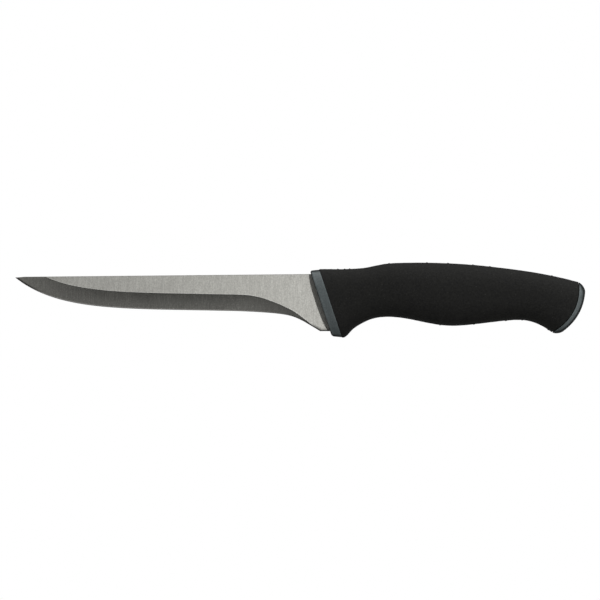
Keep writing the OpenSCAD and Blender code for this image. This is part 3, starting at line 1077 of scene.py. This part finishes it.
def studio_glow(tree, direction, mirrored):
    """Brightness of the studio in a direction, for matte surfaces or for mirrored rays."""
    split = tree.nodes.new("ShaderNodeSeparateXYZ")
    feed(tree, split.inputs[0], direction)
    x, y, z = split.outputs
    facing = remap(tree, calc(tree, "ABSOLUTE", y), 0.6, 0.93, smooth=True)
    return mix_values(tree, facing, side_glow(tree, z, mirrored), front_glow(tree, x, z))


def make_world():
    """White behind the knife; for the knife itself, a soft studio that is dim before and behind it."""
    world = bpy.data.worlds.new("studio")
    bpy.context.scene.world = world
    world.use_nodes = True
    world.cycles.sampling_method = "NONE"
    tree = world.node_tree
    direction = tree.nodes.new("ShaderNodeTexCoord").outputs["Generated"]
    path = tree.nodes.new("ShaderNodeLightPath")
    glow = studio_glow(tree, direction, path.outputs["Is Glossy Ray"])
    background = tree.nodes["Background"]
    feed(tree, background.inputs["Color"], (1, 1, 1))
    feed(tree, background.inputs["Strength"], mix_values(tree, path.outputs["Is Camera Ray"], glow, 1.0))


def floor_shadow(tree):
    """A soft shadow under what is near the floor, which fades where the floor is seen edge-on."""
    nearness = tree.nodes.new("ShaderNodeAmbientOcclusion")
    nearness.samples = 8
    feed(tree, nearness.inputs["Distance"], 60 * MM)
    shadow = remap(tree, nearness.outputs["AO"], 0.3, 1.0, 0.35, 0.0)
    return calc(tree, "MULTIPLY", shadow, remap(tree, turned_away(tree), 0.8, 0.95, 1.0, 0.0))


def floor_material():
    """An evenly white floor with a soft shadow, clear when it is seen from below."""
    material, tree, shader = new_material("pale_floor")
    tree.nodes.remove(shader)
    glow = tree.nodes.new("ShaderNodeEmission")
    feed(tree, glow.inputs["Color"], (1, 1, 1))
    feed(tree, glow.inputs["Strength"], calc(tree, "SUBTRACT", 1.0, floor_shadow(tree)))
    sided = tree.nodes.new("ShaderNodeMixShader")
    feed(tree, sided.inputs[0], tree.nodes.new("ShaderNodeNewGeometry").outputs["Backfacing"])
    feed(tree, sided.inputs[1], glow.outputs[0])
    feed(tree, sided.inputs[2], tree.nodes.new("ShaderNodeBsdfTransparent").outputs[0])
    feed(tree, tree.nodes["Material Output"].inputs["Surface"], sided.outputs[0])
    return material


def make_floor():
    """A pale floor just under the knife, which doesn't take part in the knife's own light."""
    half_size = 3
    clearance = 0.02 * MM
    build = bmesh.new()
    bmesh.ops.create_grid(build, x_segments=1, y_segments=1, size=half_size)
    floor = link_object("floor", build)
    floor.location.z = cad_low.z - clearance
    floor.visible_glossy = False
    floor.visible_diffuse = False
    floor.visible_shadow = False
    give_material(floor, floor_material())


def towards(azimuth, elevation):
    """The direction of a lamp, in degrees from the camera's side and over the horizon."""
    a = math.radians(azimuth)
    e = math.radians(elevation)
    return Vector((math.sin(a) * math.cos(e), -math.cos(a) * math.cos(e), math.sin(e)))


def link_lamp(name, data):
    """A lamp object in the scene."""
    lamp = bpy.data.objects.new(name, data)
    bpy.context.scene.collection.objects.link(lamp)
    return lamp


def make_overhead():
    """A broad, soft sun lamp over the handle."""
    data = bpy.data.lights.new("overhead", "SUN")
    data.energy = OVERHEAD_STRENGTH
    data.angle = math.radians(OVERHEAD_WIDTH)
    lamp = link_lamp("overhead", data)
    source = towards(OVERHEAD_AZIMUTH, OVERHEAD_ELEVATION)
    lamp.rotation_euler = source.to_track_quat("Z", "Y").to_euler()
    return lamp


def make_key(name, azimuth):
    """A small round lamp near the horizon, which casts the collar's narrow shadow on the blade."""
    data = bpy.data.lights.new(name, "POINT")
    data.energy = KEY_POWER
    data.shadow_soft_size = KEY_DISTANCE * math.tan(math.radians(KEY_WIDTH / 2))
    lamp = link_lamp(name, data)
    lamp.location = towards(azimuth, KEY_ELEVATION) * KEY_DISTANCE
    return lamp


def light_only(lamp, pieces):
    """Keeps a lamp's light to the given pieces; everything still casts its shadow."""
    lit = bpy.data.collections.new(lamp.name + "_lit")
    for piece in pieces:
        lit.objects.link(piece)
    lamp.light_linking.receiver_collection = lit


def make_camera():
    """A level view, square to the blade, from so far away that it shows almost no perspective."""
    data = bpy.data.cameras.new("camera")
    data.lens = LENS
    data.sensor_width = SENSOR_WIDTH
    half_view = math.atan(SENSOR_WIDTH / 2 / LENS)
    centre = (cad_low + cad_high) / 2 + CAMERA_SHIFT
    camera = bpy.data.objects.new("camera", data)
    camera.location = centre - Vector((0, FRAME_WIDTH / 2 / math.tan(half_view), 0))
    camera.rotation_euler = (math.pi / 2, 0, 0)
    bpy.context.scene.collection.objects.link(camera)
    bpy.context.scene.camera = camera
    bpy.context.scene.view_settings.view_transform = "Standard"


# ---- Scene ----

blade = build_blade()
grip = build_grip()
cap = build_cap()
collar = build_collar()

steel = steel_material()
hard_grey = hard_grey_material()
core_plastic = core_material()
give_material(blade, steel)
give_material(grip, rubber_material())
give_material(cap, hard_grey)
give_material(collar, hard_grey)
give_material(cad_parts["core_left"], core_plastic)
give_material(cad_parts["core_right"], core_plastic)
give_material(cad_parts["tang_rivets"], rivet_material())

make_world()
make_floor()
make_key("front_key", KEY_AZIMUTH)
light_only(make_key("back_key", 180 - KEY_AZIMUTH), [blade, grip, collar])
light_only(make_overhead(), [grip, cap, collar])
make_camera()
